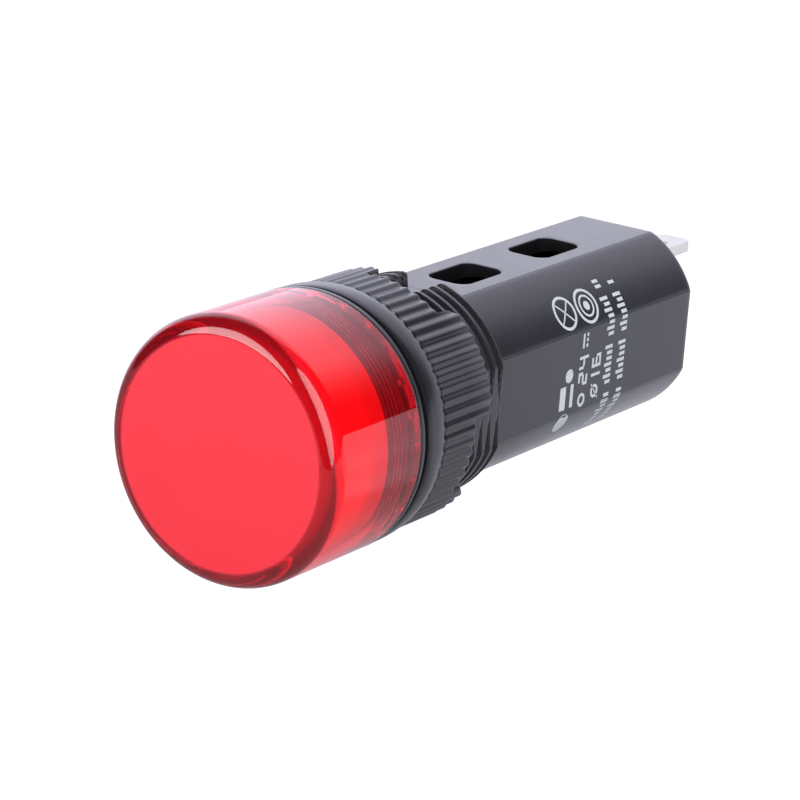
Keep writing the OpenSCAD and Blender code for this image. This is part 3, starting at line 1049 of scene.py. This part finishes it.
@dataclass
class Barrel:
    """The housing with its two threads, flats and windows, the gasket, the rear base and the blades."""

    nose_r: float = 7.85
    nose_root: float = 7.65
    nose_bore: float = 6.6
    nose_plain: float = 1.0
    nose_lead: float = 0.2
    nose_pitch: float = 0.4
    nose_shares: tuple[float, float] = (0.34, 0.26)
    flange_front: float = -0.95
    flange_rear: float = -0.5
    flange_edge: float = 0.06
    thread_r: float = 7.9
    thread_root: float = 7.35
    thread_start: float = 0.35
    thread_pitch: float = 1.0
    thread_turns: int = 11
    side_flat: float = 7.35
    keyway: tuple[float, float] = (-0.9, 1.75)
    keyway_round: float = 0.4
    body_r: float = 7.4
    flat: float = 6.75
    bore: float = 5.9
    rear_bore: float = 6.15
    rear_bore_deep: float = 2.2
    board_seat: float = -1.25
    rear_edge: float = 0.12
    step_edge: float = 0.12
    no_step: float = 0.0005
    body_row: float = 2.2
    section_step: float = 1.25
    corner: float = 0.12
    windows: tuple[float, float] = (17.4, 27.8)
    window_wide: float = 3.2
    window_long: float = 5.3
    window_corner: float = 0.9
    window_rim: float = 0.2
    plug_deep: float = 1.5
    plug_proud: float = 1.0
    skin: float = 0.03
    shell: Span = field(default_factory=lambda: Span.of("housing"))

    def body_limit(self, angle: float) -> float:
        """The body's radius at an angle, cut by its four flats with softly rounded corners.

        Args:
            angle: the angle round the axis in degrees.

        Returns:
            The radius.
        """
        turned = math.radians((angle + 45) % 90 - 45)
        cut = self.flat / math.cos(turned)
        near = max(0.0, self.corner - abs(cut - self.body_r))
        return min(cut, self.body_r - near**2 / 4 / self.corner)

    def thread_limit(self, angle: float) -> float:
        """The radius that the side cuts and the keyway leave on the thread at an angle.

        Args:
            angle: the angle round the axis in degrees.

        Returns:
            The radius.
        """
        turn = math.radians(angle)
        side = self.side_flat / max(abs(math.cos(turn)), TINY)
        if math.sin(turn) <= 0:
            return side
        along = math.cos(turn) * self.thread_r
        if self.keyway[0] < along < self.keyway[1]:
            return min(side, self.flat / math.sin(turn))
        from_wall = min(abs(along - self.keyway[0]), abs(along - self.keyway[1]), self.keyway_round)
        drop = self.keyway_round - math.sqrt(self.keyway_round**2 - (self.keyway_round - from_wall) ** 2)
        return min(side, self.thread_r - drop)

    def section(self, angle: float) -> Profile:
        """The housing's half section at an angle.

        Args:
            angle: the angle round the axis in degrees.

        Returns:
            The outline, closed on itself.
        """
        nose, rear, rim = self.shell.front, self.shell.rear, self.shell.radius
        lead, plain = nose + self.nose_lead, self.flange_front - self.nose_plain
        fine = Thread(self.nose_r, self.nose_root, lead, plain, self.nose_pitch, *self.nose_shares)
        start, end = self.thread_start, self.thread_start + self.thread_turns * self.thread_pitch
        coarse = Thread(self.thread_r, self.thread_root, start, end, self.thread_pitch, flank_steps=4)
        cut, body = self.thread_limit(angle), self.body_limit(angle)
        step = self.step_edge if cut > body + 0.01 else self.no_step
        out: Profile = [(self.nose_bore, nose), (self.nose_root, nose), (self.nose_r, lead)]
        out += fine.points(angle)
        out += [(self.nose_root, plain + 0.1), (self.nose_root, self.flange_front)]
        edge = self.flange_edge
        out += fillet(rim - edge, self.flange_front + edge, -90, edge, 3)
        out += fillet(rim - edge, self.flange_rear - edge, 0, edge, 3)
        out += [(min(self.thread_r, cut), self.flange_rear)]
        out += [(min(r, cut), y) for r, y in coarse.points(angle)]
        out += [(min(self.thread_root, body), end + 0.001)]
        out += fillet(body - step, end + step, -90, step, 4)
        out += [(body, y) for y in steps(end + 0.5, rear - 0.5, self.body_row)]
        out += fillet(body - self.rear_edge, rear - self.rear_edge, 0, self.rear_edge, 4)
        recess = rear - self.rear_bore_deep
        out += [(self.rear_bore, rear), (self.rear_bore, recess), (self.bore, recess)]
        return out + [(self.bore, self.board_seat), (self.nose_bore, self.board_seat)]

    def angles(self) -> list[float]:
        """Tells where the sections stand.

        Returns:
            Even angles, closer where a flat meets the round and where the keyway opens.
        """
        out = set(steps(0, 360, self.section_step))
        bend = math.degrees(math.acos(self.flat / self.body_r))
        side = math.degrees(math.acos(self.side_flat / self.thread_r))
        for quarter in (0, 90, 180, 270):
            for edge in (bend, -bend):
                out |= {(quarter + edge + off) % 360 for off in (-0.6, -0.2, 0.2, 0.6)}
        for half in (0, 180):
            out |= {(half + side) % 360, (half - side) % 360}
        for wall, outward in zip(self.keyway, (1, -1)):
            edge = math.degrees(math.acos(wall / self.thread_r))
            out |= {edge + outward * off for off in (-0.02, 0.02, 0.2, 0.55, 1.0, 1.6, 2.4, 3.0)}
        return sorted(out)

    def window_cutter(self, middle: float) -> Object:
        """A plug that cuts one window and rolls its rim.

        Args:
            middle: the window's middle along the axis.

        Returns:
            The plug.
        """
        rim, top = self.window_rim, self.flat
        levels = [(self.bore - self.plug_deep, 0.0), (top - rim, 0.0)]
        rolled = [math.radians(turn) for turn in steps(0, 90, 18)[1:]]
        levels += [(top - rim + rim * math.sin(t), rim * (1 - math.cos(t))) for t in rolled]
        levels += [(top + self.plug_proud, rim)]
        points = []
        for z, grow in levels:
            for sx, sy, first in ((1, 1, 0), (-1, 1, 90), (-1, -1, 180), (1, -1, 270)):
                cx = sx * (self.window_wide / 2 - self.window_corner)
                cy = middle + sy * (self.window_long / 2 - self.window_corner)
                points += [(x, y, z) for x, y in fillet(cx, cy, first, self.window_corner + grow, 8)]
        count = len(points) // len(levels)
        ends = [range(count), range(len(points) - count, len(points))]
        return mesh_object("window_plug", points, ends + bands(len(levels), count))

    def build(self) -> None:
        """Makes the housing and dresses the other pieces."""
        shell = lathe("housing_moulding", self.section, self.angles())
        for middle in self.windows:
            plug = self.window_cutter(middle)
            cut = shell.modifiers.new("cut", "BOOLEAN")
            cut.operation, cut.object, cut.solver = "DIFFERENCE", plug, "EXACT"
            settle_modifier(shell, cut)
            bpy.data.objects.remove(plug)
        # from this radius inward, and on the windows' walls, the housing gets painted shade
        inside = self.flat - self.skin
        plastic = MouldedPlastic("black_housing", (0.010, 0.010, 0.014), roughness=0.25, inside=inside)
        shell.data.materials.clear()
        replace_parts(settle(smooth(shell, 25), Body.LAMP, "black_housing", plastic), "housing")
        put_on(MouldedPlastic("black_base", (0.012, 0.012, 0.02), roughness=0.38), "rear_base")
        rubber = Speckled(
            "black_rubber", (0.002, 0.002, 0.0025), grain=0.08, tone_share=1.8, roughness=0.7, unevenness=0.2,
            edge=0.05, specular=0.06,
        )
        put_on(rubber, "panel_gasket")
        tin = PlatedMetal("tinned_blade", (0.85, 0.83, 0.825), roughness=0.55, metallic=0.45)
        put_on(tin, "terminal_upper", "terminal_lower")
        Print(self.flat, self.body_r).build()


@dataclass
class Print:
    """Plain white marks printed on the housing's side: a lamp sign, rings, bars, plain numbers and ticks.

    Places run round the side from the flat's middle, and along the axis. The rings, bars, numbers and
    rows of ticks are what the methods that draw them take.
    """

    flat: float
    body_r: float
    ink: float = 0.012
    grain: float = 0.35
    pen: float = 0.22
    digit_wide: float = 0.75
    digit_tall: float = 1.2
    tick_wide: float = 0.26
    tick_tall: float = 1.0
    tick_step: float = 0.44
    tick_shares: tuple[float, ...] = (1.0, 0.72, 0.72, 1.0, 0.72)
    tick_group: int = 7
    group_step: float = 2.2
    ring_faces: int = 40
    rings: tuple[tuple[float, ...], ...] = (
        (4.6, 21.4, 1.3, 0.22),
        (4.6, 24.3, 1.35, 0.22),
        (4.6, 24.3, 0.85, 0.16),
        (4.6, 24.3, 0.35, 0.35),
        (-0.05, 21.4, 0.5, 0.5),
        (-3.6, 21.1, 0.8, 0.8),
        (-2.2, 23.3, 0.5, 0.22),
        (-1.9, 25.05, 0.5, 0.22),
    )
    bars: tuple[tuple[float, ...], ...] = (
        (4.6, 21.4, 1.5, 0.176, 1.5),
        (4.6, 21.4, 1.5, 0.176, -1.5),
        (-1.6, 20.7, 1.7, 0.75),
        (-1.6, 21.9, 1.7, 0.4),
        (2.2, 23.05, 1.1, 0.22),
        (1.8, 23.55, 0.25, 0.22),
        (2.2, 23.55, 0.25, 0.22),
        (2.6, 23.55, 0.25, 0.22),
        (-1.9, 25.05, 1.2, 0.14, -1.0),
    )
    numbers: tuple[tuple[str, float, float], ...] = (
        ("abged", -1.0, 23.3),
        ("fgbc", 0.2, 23.3),
        ("bc", -1.4, 25.05),
        ("afgedc", 0.0, 25.05),
    )
    tick_rows: tuple[tuple[float, ...], ...] = ((26.7, -5.2, 6.3), (28.5, -5.2, 5.9))
    points: list[Vector] = field(default_factory=list)
    faces: list[tuple[int, ...]] = field(default_factory=list)

    def wrap(self, around: float, y: float, out: float) -> Vector:
        """A point on the housing's right side.

        Args:
            around: the distance round the side from the flat's middle, positive upwards.
            y: the place along the axis.
            out: the height over the surface.

        Returns:
            The point.
        """
        half = math.sqrt(self.body_r**2 - self.flat**2)
        if abs(around) <= half:
            return Vector((self.flat + out, y, around))
        turn = math.asin(half / self.body_r) + (abs(around) - half) / self.body_r
        radius = self.body_r + out
        return Vector((radius * math.cos(turn), y, math.copysign(radius * math.sin(turn), around)))

    def patch(self, place: Callable[[float, float], tuple[float, float]], across: int, along: int) -> None:
        """Adds a raised patch of ink.

        Args:
            place: gives the distance round and along for two shares from 0 to 1.
            across: how many faces it has in the first direction.
            along: how many it has in the second.
        """
        square = ((0, 0), (1, 0), (1, 1), (0, 1))
        for i, j in product(range(across), range(along)):
            corners = [place((i + a) / across, (j + b) / along) for a, b in square]
            first = len(self.points)
            self.points += [self.wrap(s, y, self.ink) for s, y in corners]
            self.faces.append(tuple(range(first, first + 4)))

    def bar(self, around: float, y: float, tall: float, wide: float, lean: float = 0.0) -> None:
        """Adds a bar of ink.

        Args:
            around: its middle round the side.
            y: its middle along the axis.
            tall: its size round the side.
            wide: its size along the axis.
            lean: how far its upper end is shifted along the axis.
        """
        faces = max(1, math.ceil(tall / self.grain))
        self.patch(
            lambda a, b: (around + (a - 0.5) * tall, y + (b - 0.5) * wide + lean * (a - 0.5)), faces, 1
        )

    def ring(self, around: float, y: float, radius: float, stroke: float) -> None:
        """Adds a ring of ink, or a disc where the stroke is as wide as the radius.

        Args:
            around: its middle round the side.
            y: its middle along the axis.
            radius: its outer radius.
            stroke: how wide its line is.
        """
        def place(a: float, b: float) -> tuple[float, float]:
            """The ring's grid."""
            turn, r = 2 * math.pi * a, radius - stroke * (1 - b)
            return around + r * math.sin(turn), y + r * math.cos(turn)

        self.patch(place, self.ring_faces, max(1, round(stroke / self.grain)))

    def digit(self, strokes: str, around: float, y: float) -> None:
        """Adds a plain number, whose foot points to the rear.

        Args:
            strokes: which of its seven strokes it has, from a to g.
            around: its left edge round the side.
            y: its middle along the axis.
        """
        wide, tall, pen = self.digit_wide, self.digit_tall, self.pen
        for index, level in (("a", -0.5), ("g", 0.0), ("d", 0.5)):
            if index in strokes:
                self.bar(around + wide / 2, y + level * (tall - pen), wide - pen, pen)
        for index, side, level in (("b", 1, -0.25), ("c", 1, 0.25), ("e", 0, 0.25), ("f", 0, -0.25)):
            if index in strokes:
                self.bar(around + side * wide, y + level * tall, pen, tall / 2)

    def tick_row(self, y: float, first: float, last: float) -> None:
        """Adds a row of small ticks in groups.

        Args:
            y: the row's middle along the axis.
            first: where it starts round the side.
            last: where it ends.
        """
        at, number = first, 0
        while at < last:
            tall = self.tick_tall * self.tick_shares[number % len(self.tick_shares)]
            self.bar(at, y + (self.tick_tall - tall) / 2, self.tick_wide, tall)
            number += 1
            at += self.tick_step * (1.0 if number % self.tick_group else self.group_step)

    def marks(self) -> None:
        """Lays out all the marks."""
        for ring in self.rings:
            self.ring(*ring)
        for bar in self.bars:
            self.bar(*bar)
        for number in self.numbers:
            self.digit(*number)
        for row in self.tick_rows:
            self.tick_row(*row)

    def build(self) -> None:
        """Makes the print, and thickens it down into the housing's skin."""
        self.marks()
        piece = mesh_object("side_print", self.points, self.faces)
        axis = Vector((0, 1, 0))
        with reshaping(piece.data) as form:
            made = bmesh.ops.extrude_face_region(form, geom=form.faces[:])
            for vert in (v for v in made["geom"] if isinstance(v, BMVert)):
                radial = vert.co - vert.co.project(axis)
                vert.co -= radial.normalized() * 2 * self.ink * MM
            bmesh.ops.recalc_face_normals(form, faces=form.faces)
        ink = Speckled(
            "white_ink", (0.66, 0.69, 0.76), grain=0.25, tone_share=0.8, roughness=0.5, unevenness=0.15
        )
        settle(piece, Body.LAMP, "white_board", ink)


@dataclass
class Boards:
    """What is inside the housing: both boards and what is soldered to them."""

    band_paints: tuple[Colour, ...] = (
        (0.45, 0.02, 0.02),
        (0.02, 0.02, 0.02),
        (0.6, 0.15, 0.02),
        (0.55, 0.4, 0.08),
    )
    band_from: float = 0.25
    band_step: float = 0.75
    band_wide: float = 0.4
    mark_from: float = 0.9
    mark_to: float = 1.4

    def build(self) -> None:
        """Dresses the inner pieces."""
        tin = PlatedMetal("tinned_wire", (0.75, 0.75, 0.77))
        put_on(tin, "led_leads", "resistor_leads", "capacitor_leads", "rectifier_legs")
        put_on(Glossy("black_epoxy", (0.02, 0.02, 0.022), 0.4), "bridge_rectifier", "chip_resistors")
        put_on(SolderMask("white_board", (0.8, 0.8, 0.76), (0.86, 0.86, 0.82)), "led_board")
        put_on(SolderMask("green_board", (0.006, 0.03, 0.012), (0.012, 0.05, 0.02)), "driver_board")
        put_on(Glossy("red_lamp_epoxy", (0.7, 0.05, 0.06), 0.1), "leds")
        put_on(PlatedMetal("gold_pins", (0.83, 0.66, 0.3), 0.22), "link_pins")
        put_on(PlatedMetal("solder", (0.72, 0.72, 0.74), 0.2), "solder_joints")
        put_on(Glossy("capacitor_sleeve", (0.03, 0.04, 0.16), 0.25), "capacitor")
        put_on(TwoWires("red_insulation", (0.6, 0.03, 0.03), (0.02, 0.02, 0.02)), "feed_wires")
        low, high = (corner.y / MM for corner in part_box("resistors"))
        first = low + self.band_from * (high - low)
        starts = [first + self.band_step * i for i in range(len(self.band_paints))]
        stripes = tuple((y, y + self.band_wide, paint) for y, paint in zip(starts, self.band_paints))
        put_on(Glossy("resistor_lacquer", (0.6, 0.45, 0.27), 0.3, stripes), "resistors")
        middle = sum(corner.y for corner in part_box("zener_diode")) / 2 / MM
        mark = (middle + self.mark_from, middle + self.mark_to, (0.01, 0.01, 0.01))
        put_on(Glossy("diode_glass", (0.7, 0.25, 0.08), 0.08, (mark,)), "zener_diode")
        LOG.info("boards dressed")


# --- studio


@dataclass(frozen=True)
class Softbox:
    """A lamp behind an oval of diffusing cloth."""

    name: str
    bearing: float
    height: float
    distance: float
    size: tuple[float, float]
    radiance: float

    def light(self) -> None:
        """Hangs the softbox, facing the object.

        Its bearing runs in degrees from +Y towards +X, and its height in degrees over the horizon.
        """
        turn, rise = math.radians(self.bearing), math.radians(self.height)
        away = Vector((math.sin(turn) * math.cos(rise), math.cos(turn) * math.cos(rise), math.sin(rise)))
        lamp = bpy.data.lights.new(self.name, "AREA")
        lamp.shape = "ELLIPSE"
        lamp.size, lamp.size_y = self.size
        lamp.energy = math.pi * self.radiance * self.size[0] * self.size[1]
        facing = (-away).to_track_quat("-Z", "Y").to_matrix().to_4x4()
        add_object(self.name, lamp).matrix_world = Matrix.Translation(away * self.distance) @ facing


@dataclass
class Studio:
    """The camera, the white table with its raised back, and the lamps.

    The sky's and the paper's fields say how bright each is in a mirror: a low value, and what fades in. The
    paper's low value near the object is a painted shadow, which fades out further back.
    The table's half width and its line of y and z are in mm. The rest is in metres.
    """

    eye: tuple[float, float, float] = (0.12124, -0.17968, 0.06867)
    look: tuple[float, float, float] = (-0.5142, 0.8053, -0.2951)
    up: tuple[float, float, float] = (-0.2205, 0.2084, 0.9529)
    focal: float = 154.8
    sensor: float = 36.0
    clip: float = 0.01
    table_half: float = 3000.0
    table_line: tuple[tuple[float, float], ...] = ((-270, -60), (800, -60), (1020, -30), (1100, 130))
    table_tones: tuple[Colour, Colour] = ((0.3, 0.3, 0.3), (0.29, 0.29, 0.29))
    glow: float = 0.9
    soft_light: float = 0.35
    sky_low: float = 0.05
    sky_left: Fade = (0.57, 0.2, 0.0, 1.3)
    sky_far_left: Fade = (0.2, -0.5, 0.0, 0.6)
    sky_back: Fade = (0.0, 0.4, 0.0, 1.0)
    # the paper in mirrors: a painted shadow near the object, and where along y it fades out
    paper_in_painted_shadow: float = 0.25
    painted_shadow_edge: Fade = (0.085, 0.112, 0.0, 0.5)
    painted_shadow_far_fade: Fade = (0.15, 0.25, 0.0, 0.25)
    cool: Colour = (0.93, 0.93, 1.12)
    softboxes: tuple[Softbox, ...] = (
        Softbox("right_softbox", bearing=132, height=25, distance=1.0, size=(0.82, 1.3), radiance=3.9),
        Softbox("front_left_softbox", bearing=-149, height=9, distance=1.0, size=(0.56, 0.66), radiance=5.7),
    )

    def camera(self) -> None:
        """Sets the camera."""
        back, up = -Vector(self.look).normalized(), Vector(self.up)
        right = up.cross(back).normalized()
        data = bpy.data.cameras.new("camera")
        data.lens, data.sensor_width, data.clip_start = self.focal, self.sensor, self.clip
        turn = Matrix((right, back.cross(right), back)).transposed().to_4x4()
        holder = bpy.context.scene.camera = add_object("camera", data)
        holder.matrix_world = Matrix.Translation(self.eye) @ turn

    def rays(self, g: Graph) -> tuple[Value, Value, Value]:
        """Tells a graph's kinds of ray apart.

        Args:
            g: the graph.

        Returns:
            Three values that are 1 for what the camera sees, also through glass, for all glossy rays, and
            for mirrored rays alone.
        """
        path = g.node("ShaderNodeLightPath")
        kinds = ("Camera", "Transmission", "Glossy")
        camera, through, glossy = (Value(g, path.outputs[f"Is {kind} Ray"]) for kind in kinds)
        shown = camera.calc("MAXIMUM", through)
        return shown, glossy, glossy * (1 - shown)

    def world(self) -> None:
        """White where it is seen, an even grey for soft light, and a glow at the back left in mirrors."""
        world = bpy.data.worlds.new("studio")
        bpy.context.scene.world = world
        world.use_nodes = True
        g = Graph(world.node_tree)
        x, y, _ = g.split(g.node("ShaderNodeTexCoord").outputs["Generated"])
        aside = x / (x * x + y * y + TINY).calc("SQRT")
        left = aside.ramp(*self.sky_left) + aside.ramp(*self.sky_far_left)
        room = self.sky_low + left * y.ramp(*self.sky_back)
        shown, glossy, mirror = self.rays(g)
        strength = shown + mirror * room + (1 - shown) * (1 - mirror) * self.soft_light
        tone = g.mix(glossy, (1.0, 1.0, 1.0), self.cool)
        sky = g.node("ShaderNodeBackground", {}, {"Color": tone, "Strength": strength})
        g.node("ShaderNodeOutputWorld", {}, {0: sky.outputs[0]})

    def table(self) -> None:
        """A white table that rises at the back and takes the object's soft shadow, with a painted shadow near
        the object where it is seen in mirrors.
        """
        points = [(side * self.table_half, y, z) for y, z in self.table_line for side in (-1, 1)]
        faces = bands(len(self.table_line), 2, closed=False)
        piece = smooth(mesh_object("white_table", points, faces), 60)
        s = Surface("table_paper")
        fibre = s.noise(4.0, 2.0)
        paint = s.mix(fibre, *self.table_tones)
        paper = s.shade(paint, 0.9, Specular_IOR_Level=0.0)
        shown, _, mirror = self.rays(s)
        y = s.split(s.place)[1]
        # painted shadow: in mirrors the paper is darker near the object and brightens further back along y
        paper_with_painted_shadow = self.paper_in_painted_shadow + y.ramp(*self.painted_shadow_edge) + y.ramp(*self.painted_shadow_far_fade)
        tone = s.mix(mirror, (1.0, 1.0, 1.0), self.cool)
        strength = shown * self.glow + mirror * paper_with_painted_shadow
        glow = s.node("ShaderNodeEmission", {}, {"Color": tone, "Strength": strength})
        both = s.node("ShaderNodeAddShader", {}, {0: paper, 1: glow.outputs[0]})
        piece.data.materials.append(s.done(both.outputs[0]))

    def build(self) -> None:
        """Sets up the studio."""
        self.camera()
        self.world()
        self.table()
        for softbox in self.softboxes:
            softbox.light()
        bpy.context.scene.view_settings.view_transform = "Standard"
        LOG.info("studio ready with %d softboxes", len(self.softboxes))


def main() -> None:
    """Builds the studio and the lamp."""
    logging.basicConfig(level=logging.INFO, format="%(name)s: %(message)s")
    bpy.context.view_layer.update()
    Studio().build()
    for part in (LensUnit(), Nut(), Barrel(), Boards()):
        part.build()
    bpy.context.view_layer.update()


if __name__ == "__main__":
    main()
